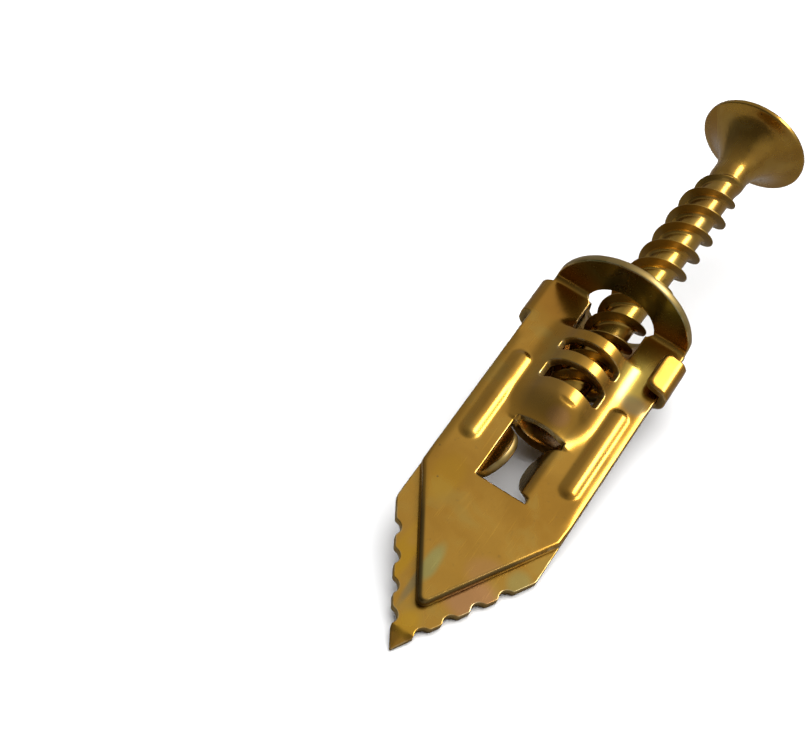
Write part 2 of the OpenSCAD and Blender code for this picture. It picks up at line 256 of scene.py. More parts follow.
SHORT = Plate("short_plate", SHORT_LEN, SHORT_SLOTS, bend_r=0.5, fillet=2.6, axis_y=SCREW_OFFSET,
              dome_end=(0.6, 2.25), hook=1.1, open_neck=True, scar=True)
LONG = Plate("long_plate", LONG_LEN, LONG_SLOTS, bend_r=0.25, fillet=0.9, axis_y=-SCREW_OFFSET,
             dome_end=(0.98, 2.1), hook=2.0, notched=True)


# ---- outlines of the flat blanks: x across the plate, s along it, before any bend ----
def arc(cx, cy, r, start, end):
    """Points on a circle from one angle to another."""
    count = max(3, int(abs(end - start) * r / RIM_STEP) + 1)
    angles = np.linspace(start, end, count)
    return [(cx + r * math.cos(a), cy + r * math.sin(a)) for a in angles]


def subdivided(loop):
    """The closed loop with every straight stretch cut into short steps."""
    out = []
    for i, a in enumerate(loop):
        b = loop[(i + 1) % len(loop)]
        length = math.dist(a, b)
        if length < TINY:
            continue
        steps = max(1, int(length / RIM_STEP + 0.5))
        out += [(a[0] + (b[0] - a[0]) * k / steps, a[1] + (b[1] - a[1]) * k / steps) for k in range(steps)]
    return out


def softened(loop):
    """The closed loop with its corners slightly rounded, by two passes of a 1-2-1 mean."""
    points = np.array(loop)
    for _ in range(2):
        points = (np.roll(points, 1, 0) + 2 * points + np.roll(points, -1, 0)) / 4
    return [tuple(p) for p in points]


def point_edge(plate):
    """The left edge of the arrow point, from the shoulder to just above the tip."""
    start = np.array([-HALF_W, POINT_LEN - plate.length])
    along = np.array([HALF_W, -POINT_LEN])
    edge_len = np.linalg.norm(along)
    along /= edge_len
    outward = np.array([along[1], -along[0]])
    points = [tuple(start)]
    if plate.notched:
        first = (edge_len - (NOTCHES - 1) * NOTCH_PITCH) / 2
        lip = math.asin(NOTCH_OUTSET / NOTCH_R)
        for i in range(NOTCHES):
            centre = start + along * (first + i * NOTCH_PITCH) + outward * NOTCH_OUTSET
            for a in np.linspace(lip, math.pi - lip, NOTCH_POINTS):
                points.append(tuple(centre - NOTCH_R * (math.cos(a) * along + math.sin(a) * outward)))
    return points


def point_tip(plate):
    """The tip itself: sharp on the notched plate, rounded on the other."""
    if plate.notched:
        return [(0, -plate.length)]
    slant = math.atan2(HALF_W, POINT_LEN)
    centre_s = -plate.length + POINT_TIP_R / math.sin(slant)
    return arc(0, centre_s, POINT_TIP_R, math.pi + slant, 2 * math.pi - slant)


def blank_outline(plate):
    """The whole blank: half disc of the flange, sides, hook and arrow point."""
    fold, hook = plate.fold, plate.hook
    side = math.asin(fold.y / FLANGE_R)
    loop = arc(0, fold.end - fold.y, FLANGE_R, side, math.pi - side)
    loop += [(-HALF_W, fold.z), (-HALF_W, -hook)]
    corner_x = -HOOK_END + HOOK_CORNER
    loop += arc(corner_x, -hook - HOOK_CORNER, HOOK_CORNER, math.pi / 2, math.pi)
    loop += arc(corner_x, -hook - HOOK_LEN + HOOK_CORNER, HOOK_CORNER, math.pi, 1.5 * math.pi)
    loop += [(-HALF_W, -hook - HOOK_LEN)]
    left = point_edge(plate)
    loop += left + point_tip(plate) + [(-x, s) for x, s in reversed(left)]
    loop += [(HALF_W, fold.z)]
    return softened(subdivided(loop))


def flange_hole(plate):
    """The half hole of the flange, with the neck opening below it or without."""
    fold = plate.fold
    side = math.asin(fold.y / HOLE_R)
    loop = arc(0, fold.end - fold.y, HOLE_R, side, math.pi - side)
    foot_x = HOLE_R - HOLE_NIP
    if plate.open_neck:
        r = NECK_CORNER
        loop += [(-foot_x, -HOLE_FOOT), (-NECK_HALF, -NECK_TOP)]
        loop += arc(-NECK_HALF + r, -NECK_FOOT + r, r, math.pi, 1.5 * math.pi)
        loop += arc(NECK_HALF - r, -NECK_FOOT + r, r, 1.5 * math.pi, 2 * math.pi)
        loop += [(NECK_HALF, -NECK_TOP), (foot_x, -HOLE_FOOT)]
    else:
        loop += [(-foot_x, ARCH_Z), (foot_x, ARCH_Z)]
    return subdivided(loop)


def slot_outline(start, end):
    """A slot across the channel, which leaves a strap beside it."""
    x, r = SLOT_HALF - SLOT_CORNER, SLOT_CORNER
    loop = arc(x, -start - r, r, 0, math.pi / 2) + arc(-x, -start - r, r, math.pi / 2, math.pi)
    loop += arc(-x, -end + r, r, math.pi, 1.5 * math.pi) + arc(x, -end + r, r, 1.5 * math.pi, 2 * math.pi)
    return subdivided(loop)


def window_outline():
    """The window with its lens shaped side flap still flat in it."""
    top, bottom = -WINDOW[0], -WINDOW[1]
    half = (WINDOW[1] - WINDOW[0]) / 2 - FLAP_PLAY
    middle = (top + bottom) / 2
    bow_r = (half ** 2 + FLAP_REACH ** 2) / (2 * FLAP_REACH)
    flap = [(WINDOW_HALF - math.sqrt(bow_r ** 2 - z ** 2) + bow_r - FLAP_REACH, middle + z)
            for z in np.linspace(-half, half, FLAP_POINTS)]
    loop = [(WINDOW_HALF, top), (-WINDOW_HALF, top), (-WINDOW_HALF, bottom), (WINDOW_HALF, bottom)]
    return subdivided(loop + flap)


# ---- relief pressed into the sheet: height above the outer face at x, z ----
def smooth(x, start, end):
    """0 before start, 1 beyond end and smooth between."""
    t = np.clip((x - start) / (end - start), 0, 1)
    return t * t * (3 - 2 * t)


def bulge(across, r, sunk, fillet):
    """Height of a round ridge whose centre lies sunk below the face, with filleted feet."""
    reach = np.sqrt(np.maximum((r + fillet) ** 2 - (sunk + fillet) ** 2, 0))
    touch = reach * r / (r + fillet)
    crown = np.sqrt(np.maximum(r ** 2 - across ** 2, 0)) - sunk
    foot = fillet - np.sqrt(np.maximum(fillet ** 2 - np.maximum(reach - across, 0) ** 2, 0))
    return np.where(across < touch, np.maximum(crown, 0), foot)


def channel_height(x, z, plate):
    """The half tube around the screw, with its neck at the top and its dome at the window."""
    eased = smooth(-z, plate.dome_from, WINDOW[0] + DOME_TO)
    end_height, end_half = plate.dome_end
    sunk = OUTER_Y + plate.axis_y
    crown = CHANNEL_R - sunk
    half = math.sqrt(CHANNEL_R ** 2 - sunk ** 2)
    crown, half = crown + (end_height - crown) * eased, half + (end_half - half) * eased
    fillet = plate.fillet
    inside = z > -WINDOW[0] - CHANNEL_PAST
    if plate.open_neck:
        fade = smooth(z, -NECK_FOOT, -RUN_OUT_AT)
        crown, half = crown * (1 - RUN_OUT_LOSS[0] * fade), half * (1 - RUN_OUT_LOSS[1] * fade)
        inside = inside & (z < -RUN_OUT_AT)
    r = (crown ** 2 + half ** 2) / (2 * crown)
    if not plate.open_neck:
        r = r + ARCH_SWELL * smooth(z, -ARCH_SWELL_FROM, ARCH_Z)
        fillet = fillet - (fillet - ARCH_FILLET) * smooth(z, -ARCH_FILLET_FROM, ARCH_Z)
    return np.where(inside, bulge(np.abs(x), r, r - crown, fillet), 0)


def rib_height(x, z, plate):
    """The two stiffening ribs beside the channel."""
    top = -RIB_START - RIB_HALF
    bottom = -plate.rib_end + RIB_HALF
    beyond = z - np.clip(z, bottom, top)
    return bulge(np.hypot(np.abs(x) - RIB_X, beyond), RIB_R, RIB_R - RIB_H, RIB_FOOT)


def scar_height(x, z, plate):
    """A short bent groove that the press leaves on the dome."""
    if not plate.scar:
        return 0 * x
    across, along = x - SCAR_AT[0], z - SCAR_AT[1]
    off = np.abs(along - SCAR_BOW * across ** 2)
    return -SCAR_DEPTH * (1 - smooth(off, 0, SCAR_W)) * (1 - smooth(np.abs(across), SCAR_FLAT, SCAR_HALF))


def relief(x, z, plate):
    """All that is pressed out of the sheet; the flap and the flange stay flat."""
    height = channel_height(x, z, plate) + rib_height(x, z, plate) + scar_height(x, z, plate)
    in_flap = (np.abs(x) < WINDOW_HALF + TINY) & (z < -WINDOW[0]) & (z > -WINDOW[1])
    return np.where(in_flap | (z > ARCH_Z + TINY), 0, height)


# ---- folding the blank: a point at a depth below the outer face, in the plate's frame ----
def folded(x, s, depth, plate):
    """Where points of the blank come to lie once it is pressed and bent."""
    h = SLOPE_STEP
    height = relief(x, s, plate)
    slope_x = (relief(x + h, s, plate) - relief(x - h, s, plate)) / (2 * h)
    slope_z = (relief(x, s + h, plate) - relief(x, s - h, plate)) / (2 * h)
    normal = np.stack([-slope_x, -np.ones_like(x), -slope_z], 1)
    normal /= np.linalg.norm(normal, axis=1, keepdims=True)
    out = np.stack([x, -OUTER_Y - height, s], 1) - normal * depth[:, None]
    bend_flange(out, x, s, depth, plate)
    bend_hook(out, x, s, depth, plate)
    bend_flap(out, x, s, depth)
    return out


def bend_flange(out, x, s, depth, plate):
    """Turns the top outwards by a right angle, apart from the closed neck's arch."""
    arch = (np.abs(x) < HOLE_R) & (s < ARCH_Z + TINY) & (not plate.open_neck)
    fold = plate.fold
    on = (s > fold.z) & ~arch
    angle = np.clip((s - fold.z) / fold.arc, 0, 1) * math.pi / 2
    r = fold.inner_r + depth
    flat = np.maximum(s - fold.end, 0)
    out[on, 1] = (-fold.y + r * np.cos(angle) - flat)[on]
    out[on, 2] = (fold.z + r * np.sin(angle))[on]


def bend_hook(out, x, s, depth, plate):
    """Wraps the hook round the other plate's edge: a wall, then a lip that rises a little."""
    on = (x < HOOK_X) & (s < -plate.hook + TINY) & (s > -plate.hook - HOOK_LEN - TINY)
    way = HOOK_X - x
    wall = HOOK_Y[1] - HOOK_Y[0]
    first = np.clip(way / HOOK_ARC, 0, 1) * math.pi / 2
    second = np.clip((way - HOOK_ARC - wall) / HOOK_ARC, 0, 1) * (math.pi / 2 - LIP_RISE)
    straight = np.clip(way - HOOK_ARC, 0, wall)
    lip = np.maximum(way - 2 * HOOK_ARC - wall, 0)
    r = HOOK_R + SHEET - depth
    across = HOOK_X - r * np.sin(first) * np.cos(second) + lip * math.cos(LIP_RISE)
    through = HOOK_Y[0] - r * np.cos(first) + straight + r * np.sin(second) + lip * math.sin(LIP_RISE)
    out[on, 0] = across[on]
    out[on, 1] = through[on]


def bend_flap(out, x, s, depth):
    """Bends the window's side flap inwards, through the other plate's window."""
    on = (x > 0) & (x < WINDOW_HALF) & (s < -WINDOW[0]) & (s > -WINDOW[1])
    way = WINDOW_HALF - x
    mid_arc = (FLAP_R + SHEET / 2) * FLAP_BEND
    angle = np.clip(way / mid_arc, 0, 1) * FLAP_BEND
    straight = np.maximum(way - mid_arc, 0)
    r = FLAP_R + SHEET - depth
    out[on, 0] = (WINDOW_HALF - r * np.sin(angle) - straight * math.cos(FLAP_BEND))[on]
    out[on, 1] = (FLAP_R - INNER_Y - r * np.cos(angle) + straight * math.sin(FLAP_BEND))[on]


# ---- meshes ----
def rim_distance(points, loops):
    """Distance of each point to the nearest outline."""
    starts = np.concatenate([np.array(loop) for loop in loops])
    ends = np.concatenate([np.roll(np.array(loop), -1, 0) for loop in loops])
    way = ends - starts
    way_sq = (way ** 2).sum(1)
    best = np.empty(len(points))
    for at in range(0, len(points), BATCH):
        part = points[at:at + BATCH, None, :]
        t = np.clip(((part - starts) * way).sum(2) / way_sq, 0, 1)
        gap = part - starts - t[..., None] * way
        best[at:at + BATCH] = np.sqrt((gap ** 2).sum(2).min(1))
    return best


def is_inside(points, loops):
    """True where a point lies inside the first outline and outside the holes."""
    inside = np.zeros(len(points), bool)
    px, py = points[:, 0], points[:, 1]
    for loop in loops:
        for (ax, ay), (bx, by) in zip(loop, loop[1:] + loop[:1]):
            if ay == by:
                continue
            crosses = (ay > py) != (by > py)
            inside ^= crosses & (px < (bx - ax) * (py - ay) / (by - ay) + ax)
    return inside


def triangulated(loops, more=()):
    """Vertices and triangles that fill an outline with holes, through some more points."""
    points, edges = [], []
    for loop in loops:
        first = len(points)
        points += [Vector(p) for p in loop]
        edges += [(first + i, first + (i + 1) % len(loop)) for i in range(len(loop))]
    points += [Vector(p) for p in more]
    verts, _, faces, _, _, _ = delaunay_2d_cdt(points, edges, [], 0, MERGE)
    verts = np.array([tuple(v) for v in verts])
    faces = np.array(faces)
    return verts, faces[is_inside(verts[faces].mean(1), loops)]


def ring_points(loops):
    """Points set back from the outlines, where the sheared edges round over."""
    out = []
    for loop in loops:
        here = np.array(loop)
        way = np.roll(here, -1, 0) - np.roll(here, 1, 0)
        normal = np.stack([-way[:, 1], way[:, 0]], 1) / np.linalg.norm(way, axis=1, keepdims=True)
        for back in RINGS:
            for side in (-1, 1):
                ring = here + side * back * normal
                out.append(ring[rim_distance(ring, loops) > RING_KEEP * back])
    rings = np.concatenate(out)
    return rings[is_inside(rings, loops)]


def grid_points(loops):
    """A triangular grid over the rest of the blank."""
    outline = np.array(loops[0])
    (low_x, low_s), (high_x, high_s) = outline.min(0), outline.max(0)
    rows = []
    for i, s in enumerate(np.arange(low_s, high_s, GRID * ROW_SHARE)):
        row_x = np.arange(low_x + (i % 2) * GRID / 2, high_x, GRID)
        rows.append(np.stack([row_x, np.full(len(row_x), s)], 1))
    grid = np.concatenate(rows)
    grid = grid[is_inside(grid, loops)]
    return grid[rim_distance(grid, loops) > RINGS[-1] + GRID_CLEAR * GRID]


def flat_mesh(loops):
    """Vertices and triangles of a blank."""
    verts, faces = triangulated(loops, np.concatenate([ring_points(loops), grid_points(loops)]))
    used, faces = np.unique(faces, return_inverse=True)
    return verts[used], faces.reshape(-1, 3)


def open_edges(faces):
    """Edges that only one triangle uses, in that triangle's direction."""
    sides = np.concatenate([faces[:, [0, 1]], faces[:, [1, 2]], faces[:, [2, 0]]])
    known = set(map(tuple, sides))
    return [(a, b) for a, b in known if (b, a) not in known]


def rolled(gap, radius):
    """How far a face has dropped at a distance from its rolled edge."""
    inside = np.clip(radius - gap, 0, radius)
    return radius - np.sqrt(np.maximum(radius ** 2 - inside ** 2, 0))


def outer_roll(x, s, plate):
    """Radius of the outer face's rounded edge."""
    roll = np.full(len(x), ROLL_OUT)
    if not plate.notched:
        roll += (ROLL_POINT - ROLL_OUT) * (1 - smooth(s, -plate.shoulder, -plate.shoulder + POINT_EASE))
    return np.where(x < HOOK_X - 2 * HOOK_ARC, ROLL_LIP, roll)


def die_roll(x, s, gap, plate):
    """How far the outer face sags towards the sheared long sides, beside the ribs."""
    beside = smooth(np.abs(x), *DIE_SIDE) * smooth(-s, *DIE_TOP)
    beside = beside * smooth(s, -plate.rib_end - DIE_FADE, -plate.rib_end)
    return DIE_ROLL * beside * np.clip(1 - gap / DIE_WIDE, 0, 1) ** 2


def tip_bevel(s, gap, plate):
    """How deep the inner face of the notched plate's tip is ground away."""
    if not plate.notched:
        return 0 * s
    near = np.clip((-s - plate.length + TIP_BEVEL_LEN) / TIP_BEVEL_LEN, 0, 1)
    facet = FACET_SHARE * np.clip(FACET_RISE * near, 0, 1) * np.clip(1 - gap / FACET_W, 0, 1)
    return TIP_BEVEL_DEPTH * (near + facet)


def sheet_mesh(loops, plate):
    """Closed mesh of a blank folded into its plate, with each vertex's distance to the cut edge."""
    flat, faces = flat_mesh(loops)
    gap = rim_distance(flat, loops)
    gap[gap < ON_RIM] = 0
    x, s = flat[:, 0], flat[:, 1]
    outer_depth = rolled(gap, outer_roll(x, s, plate)) + die_roll(x, s, gap, plate)
    inner_depth = SHEET - rolled(gap, ROLL_IN) - tip_bevel(s, gap, plate)
    verts = np.concatenate([folded(x, s, outer_depth, plate), folded(x, s, inner_depth, plate)])
    count = len(flat)
    closed = [tuple(int(i) for i in f) for f in faces]
    closed += [tuple(int(i) + count for i in f[::-1]) for f in faces]
    closed += [(int(b), int(a), int(a) + count, int(b) + count) for a, b in open_edges(faces)]
    return verts, closed, np.concatenate([gap, gap])


def welded(obj):
    """Joins vertices that lie on each other, turns all faces outwards and shades them smooth."""
    bm = bmesh.new()
    bm.from_mesh(obj.data)
    bmesh.ops.remove_doubles(bm, verts=bm.verts, dist=WELD_M)
    bmesh.ops.dissolve_degenerate(bm, dist=DEGENERATE_M, edges=bm.edges)
    loose = [v for v in bm.verts if not v.link_faces]
    bmesh.ops.delete(bm, geom=loose, context="VERTS")
    bmesh.ops.recalc_face_normals(bm, faces=bm.faces)
    bm.to_mesh(obj.data)
    bm.free()
    obj.data.polygons.foreach_set("use_smooth", [True] * len(obj.data.polygons))
    obj.data.set_sharp_from_angle(angle=CREASE)


def new_object(name, built, placing, material):
    """A placed mesh that remembers each vertex's place on its own part, in metres."""
    verts, faces, rim = built
    own = np.asarray(verts, float) * MM
    turn = np.array(placing)
    mesh = bpy.data.meshes.new(name)
    mesh.from_pydata((own @ turn[:3, :3].T + turn[:3, 3]).tolist(), [], faces)
    place = mesh.attributes.new("own_place", "FLOAT_VECTOR", "POINT")
    place.data.foreach_set("vector", own.astype(np.float32).ravel())
    gap = mesh.attributes.new("rim_gap", "FLOAT", "POINT")
    gap.data.foreach_set("value", rim.astype(np.float32))
    mesh.materials.append(material)
    obj = bpy.data.objects.new(name, mesh)
    bpy.context.scene.collection.objects.link(obj)
    welded(obj)
    return obj


# ---- the screw ----
def thread_rows():
    """Heights around a crest at which the screw has rows of vertices, one pitch in all."""
    return np.array(sorted([-v for v in CREST_ROWS[1:]] + list(CREST_ROWS) + [PITCH / 2]))


def core_radius(z):
    """The shaft between the crests, which widens to the neck."""
    taper = np.clip((z - NECK_END + NECK_TAPER) / NECK_TAPER, 0, 1)
    return CORE_R + (NECK_R - CORE_R) * taper


def thread_radius(off_crest, z):
    """The screw's radius at a distance from a crest; the thread fades at the neck and the core at the tip."""
    t = np.clip((np.abs(off_crest) - CREST_HALF) / FLANK_W, 0, 1)
    flank = (1 - t) ** FLANK_HOLLOW
    grow = np.clip((NECK_END - z) / RUN_OUT + RUN_OUT_LEFT, THREAD_LEAST, 1)
    grow = grow * np.clip((NECK_END - THREAD_GAP - z) / THREAD_STOP, 0, 1)
    tip = np.clip((z - TIP_Z) / TIP_LEN, 0, 1)
    return (core_radius(z) + (CREST_R - CORE_R) * grow * flank) * tip


def thread_mesh(angles):
    """The threaded length: rows of vertices that climb by the lead in a turn and stop at both ends."""
    offsets = thread_rows()
    spare = 2 * LEAD
    count = int((NECK_END - TIP_Z + spare) / PITCH) + 2
    rows = np.concatenate([offsets + k * PITCH for k in range(count)])
    off_crest = np.tile(offsets, count)[:, None]
    start = CREST_Z - LEAD * THREAD_TURN / 360 - spare
    z = np.clip(start + rows[:, None] + LEAD * angles[None, :] / (2 * math.pi), TIP_Z, NECK_END)
    r = thread_radius(off_crest, z)
    verts = np.stack([r * np.cos(angles), r * np.sin(angles), z], 2).reshape(-1, 3)
    # the flanks get rim 0, so that the material paints them dark as painted shade
    on_flank = np.abs(off_crest) < CREST_HALF + FLANK_SHADE_SHARE * FLANK_W
    rim = np.where(on_flank & (r > CORE_R + CORE_CLEAR), 0.0, AWAY).ravel()
    faces = []
    for i in range(len(rows) - 1):
        for j in range(SIDES):
            k = (j + 1) % SIDES
            up = i + STARTS * len(offsets) if k == 0 else i
            if up + 1 < len(rows):
                faces.append((i * SIDES + j, up * SIDES + k, (up + 1) * SIDES + k, (i + 1) * SIDES + j))
    return list(verts), faces, rim


def band_faces(first, count):
    """Faces between the ring of vertices that starts at first and the ring after it."""
    after = first + count
    return [(first + j, first + (j + 1) % count, after + (j + 1) % count, after + j) for j in range(count)]


def screw_mesh():
    """The whole screw; its rim values are 0 on the thread's flanks, which the material darkens as painted shade.
    """
    angles = np.arange(SIDES) * 2 * math.pi / SIDES
    verts, faces, rim = thread_mesh(angles)
    for z, r in head_profile():
        if z > NECK_END:
            faces += band_faces(len(verts) - SIDES, SIDES)
        verts += [(r * math.cos(a), r * math.sin(a), z) for a in angles]
    top_verts, top_faces = head_top(angles)
    faces += [tuple(i + len(verts) for i in f) for f in top_faces]
    verts += top_verts
    return verts, faces, np.append(rim, np.full(len(verts) - len(rim), AWAY))


def head_profile():
    """Height and radius of the rings from the smooth neck to the head's top."""
    flare_end = HEAD_TOP - HEAD_RIM - HEAD_FLARE
    wide = HEAD_R - NECK_R
    flare_r = (wide ** 2 + HEAD_FLARE ** 2) / (2 * wide)
    rings = [(NECK_END, NECK_R), (NECK_END + NECK_EDGE, NECK_R), (flare_end - FLARE_EDGE, NECK_R)]
    for z in np.linspace(0, HEAD_FLARE - FLARE_STOP, FLARE_RINGS):
        round_r = flare_r - math.sqrt(flare_r ** 2 - z ** 2)
        rings.append((flare_end + z, NECK_R + round_r + FLARE_FULL * (wide * z / HEAD_FLARE - round_r)))
    rings += [(HEAD_TOP - HEAD_RIM + z, HEAD_R - r) for z, r in RIM_PROFILE]
    rings.append((HEAD_TOP, TOP_R))
    return rings


def recess_ring(depth):
    """Outline of the cross recess at a depth: four arms around a round core."""
    share = depth / RECESS_DEPTH
    core = RECESS_CORE * (1 - CORE_LOSS * share)
    arm = RECESS_ARM * (1 - ARM_LOSS * share)
    reach = max(RECESS_R * (1 - REACH_LOSS * share), core + ARM_LEAST)
    end, root = math.asin(arm / reach), math.asin(arm / core)
    inner, outer = math.sqrt(core ** 2 - arm ** 2), math.sqrt(reach ** 2 - arm ** 2)
    outwards = np.linspace(inner, outer, RECESS_ARM_POINTS)
    before, between, after = (
        np.linspace(0, end, RECESS_END_POINTS),
        np.linspace(root, math.pi / 2 - root, RECESS_ARM_POINTS)[1:],
        np.linspace(math.pi / 2 - end, math.pi / 2, RECESS_END_POINTS)[1:-1],
    )
    ring = []
    for turn in (i * math.pi / 2 for i in range(4)):
        ring += [(a + turn, reach) for a in before]
        ring += [(math.atan2(arm, x) + turn, math.hypot(arm, x)) for x in outwards[-2::-1]]
        ring += [(a + turn, core) for a in between]
        ring += [(math.pi / 2 - math.atan2(arm, x) + turn, math.hypot(arm, x)) for x in outwards[1:]]
        ring += [(a + turn, reach) for a in after]
    return [(r * math.cos(a), r * math.sin(a)) for a, r in ring]


def tick_ring(turn, inset):
    """Outline of one of the marks between the recess's arms."""
    c, s = math.cos(turn), math.sin(turn)
    low, high = TICK_START + inset, TICK_START + TICK_LEN - inset
    wide = TICK_HALF - inset
    corners = ((low, -wide), (high, -wide), (high, wide), (low, wide))
    return [(c * x - s * y, s * x + c * y) for x, y in corners]


def head_top(angles):
    """The head's flat top with its cross recess and the four marks between the arms."""
    outer = [(TOP_R * math.cos(a), TOP_R * math.sin(a)) for a in angles]
    turns = [math.pi / 4 + i * math.pi / 2 for i in range(4)]
    flat, faces = triangulated([outer, recess_ring(0)] + [tick_ring(turn, 0) for turn in turns])
    verts = [(x, y, HEAD_TOP) for x, y in flat]
    faces = [tuple(int(i) for i in f) for f in faces]
    faces += sunk(verts, [recess_ring(d) for d in RECESS_LEVELS], RECESS_LEVELS, RECESS_DIP)
    for turn in turns:
        faces += sunk(verts, [tick_ring(turn, 0), tick_ring(turn, TICK_DRAFT)], (0, TICK_DEPTH), 0)
    return verts, faces


def sunk(verts, rings, depths, dip):
    """Adds walls from ring to ring down into the head, closed by a floor that dips towards its middle."""
    count = len(rings[0])
    faces = []
    for ring, depth in zip(rings, depths):
        if depth > 0:
            faces += band_faces(len(verts) - count, count)
        verts += [(x, y, HEAD_TOP - depth) for x, y in ring]
    last, middle = len(verts) - count, len(verts)
    verts.append((*np.mean(rings[-1], axis=0), HEAD_TOP - depths[-1] - dip))
    faces += [(last + j, last + (j + 1) % count, middle) for j in range(count)]
    return faces


# ---- placing ----
def plate_frame():
    """The lying anchor's own frame: its length on Z, the short plate towards -Y."""
    seat = next(m for m in frame["record"]["mounts"] if m["name"] == "fixture_seat")
    hinge = next(j for j in frame["joints"] if j["name"] == "plate_spread")
    up = Vector(seat["axis"]).normalized()
    across = -Vector(hinge["axis"]).normalized()
    origin = Vector(hinge["pos_m"]) - HINGE_Z * MM * up
    turn = Matrix((across, up.cross(across), up)).transposed()
    return Matrix.Translation(origin) @ turn.to_4x4()


def screw_frame(plates):
    """The leaning screw's own frame, from the axis of its joint."""
    travel = next(j for j in frame["joints"] if j["name"] == "screw_travel")
    axis = plates.to_3x3().transposed() @ Vector(travel["axis"]).normalized()
    front, side = -math.asin(axis.y), math.atan2(axis.x, axis.z)
    lean = Matrix.Rotation(side, 4, "Y") @ Matrix.Rotation(front, 4, "X")
    raised = Matrix.Translation((0, 0, -PIVOT_Z * MM))
    return plates @ Matrix.Translation((0, SCREW_OFFSET * MM, PIVOT_Z * MM)) @ lean @ raised


# ---- materials ----
WHITE = (1.0, 1.0, 1.0, 1.0)
PLATE_FINISH = {
    "base": (0.56, 0.29, 0.036, 1.0),
    "deep": (0.49, 0.24, 0.024, 1.0),
    "tint": (0.45, 0.3, 0.06, 1.0),
    "dark": (0.32, 0.18, 0.035, 1.0),
    "speck": (0.1, 0.07, 0.04, 1.0),
    "bare": (0.86, 0.7, 0.38, 1.0),
    # the cut faces' colour: partly dull sheared steel, partly painted shade
    "cut_and_shade": (0.4, 0.27, 0.08, 1.0),
    "wear": 0.6,
    "wave_scale": 420.0,
    "wave_height": 1.2e-5,
}
SCREW_FINISH = {
    "base": (0.58, 0.33, 0.045, 1.0),
    "deep": (0.42, 0.22, 0.03, 1.0),
    "tint": (0.6, 0.4, 0.1, 1.0),
    "dark": (0.22, 0.13, 0.035, 1.0),
    "speck": (0.08, 0.05, 0.03, 1.0),
    "bare": (0.8, 0.62, 0.3, 1.0),
    # the colour that the thread flanks get, as painted shade
    "cut_and_shade": (0.32, 0.19, 0.03, 1.0),
    "wear": 0.0,
    "wave_scale": 1500.0,
    "wave_height": 3e-5,
}
ROUGHNESS = 0.2
PATCH_ROUGH = 0.1           # what patches, scratches and cut edges add to it
SCRATCH_ROUGH = 0.05
CUT_ROUGH = 0.2
WAVE_BUMP = 0.5
GRAIN_BUMP = 0.35
SCRATCH_BUMP = 0.12
SPECK_STRENGTH = 0.8
# how strongly cut faces and the screw's thread flanks take the cut colour, partly painted shade
CUT_AND_SHADE_STRENGTH = 0.85
COAT = 0.35
COAT_ROUGHNESS = 0.18

# distance to the cut edge over which each effect ends, in mm
WORN_EDGE = (0.02, 0.12)
# the cut face's band; on the screw it covers the thread flanks, which get painted shade
SHEARED_AND_SHADED_EDGE = (0.001, 0.025)
# where the painted shade along the short plate's point edges fades out
EDGE_SHADE_BAND = (0.16, 0.4)

# how fine each pattern is, as the scale of its texture on a place in metres
DRIFT_SCALE = 140.0
PATCH_SCALE = 310.0
FINE_SCALE = 2600.0
SPECK_SCALE = 620.0
SPECK_GROUPS = 230.0
WEAR_SCALE = 900.0
GRAIN_SCALE = 5200.0
GRAIN_HEIGHT = 4e-6         # metres
SCRATCH_TURN = (0.0, 0.3, 0.0)
SCRATCH_STRETCH = (1.0, 1.0, 0.06)

OLIVE = (0.42, 0.4, 0.13, 1.0)
PINK = (0.62, 0.3, 0.13, 1.0)
ORANGE = (0.5, 0.22, 0.02, 1.0)
AMBER = (0.62, 0.33, 0.015, 1.0)
STEEL_BLUE = (0.24, 0.21, 0.11, 1.0)
LEMON = (0.7, 0.52, 0.1, 1.0)
BROWN = (0.4, 0.23, 0.05, 1.0)
# painted shade: on the flange's underside, in the window's flaps and along the short plate's point edges
PAINTED_FLANGE_SHADE = (0.24, 0.3, 0.14, 1.0)
SHADED = (0.17, 0.11, 0.025, 1.0)
PAINTED_POINT_EDGE_SHADE = (0.13, 0.085, 0.02, 1.0)

# patches of colour: centre and size in mm in the plate's own frame, colour, strength; most are tints of the
# plating, and the darkest are painted shade
# painted shade along the short plate's point edges
SHORT_POINT_EDGE_SHADE = (((0.0, -0.4, -26.5), (8.0, 2.0, 6.6), PAINTED_POINT_EDGE_SHADE, 0.85),)
SHORT_TINTS_AND_SHADE = (
    # painted shade on the window's flap
    ((0.9, 0.4, -15.9), (1.6, 1.1, 4.4), SHADED, 0.92),
    # painted shade on the flange's underside
    ((0.0, -3.6, -0.6), (6.5, 2.2, 0.8), PAINTED_FLANGE_SHADE, 0.75),
    # the rest are tints of the plating
    ((-0.9, -0.6, -26.6), (0.6, 2.0, 1.9), OLIVE, 0.75),
    ((-3.9, -0.6, -2.6), (1.9, 2.0, 1.6), ORANGE, 0.7),
    ((-1.1, -1.0, -10.3), (1.6, 2.0, 2.2), BROWN, 0.5),
    ((3.4, -0.8, -4.9), (1.5, 2.0, 2.4), LEMON, 0.7),
    ((4.4, -0.6, -7.0), (1.3, 2.0, 0.9), STEEL_BLUE, 0.6),
    ((0.5, -1.2, -11.9), (0.9, 2.0, 0.8), PINK, 0.45),
    ((2.6, -0.6, -25.2), (1.6, 2.0, 1.4), PINK, 0.35),
    ((-3.4, -0.6, -20.5), (1.2, 2.0, 2.4), AMBER, 0.4),
)
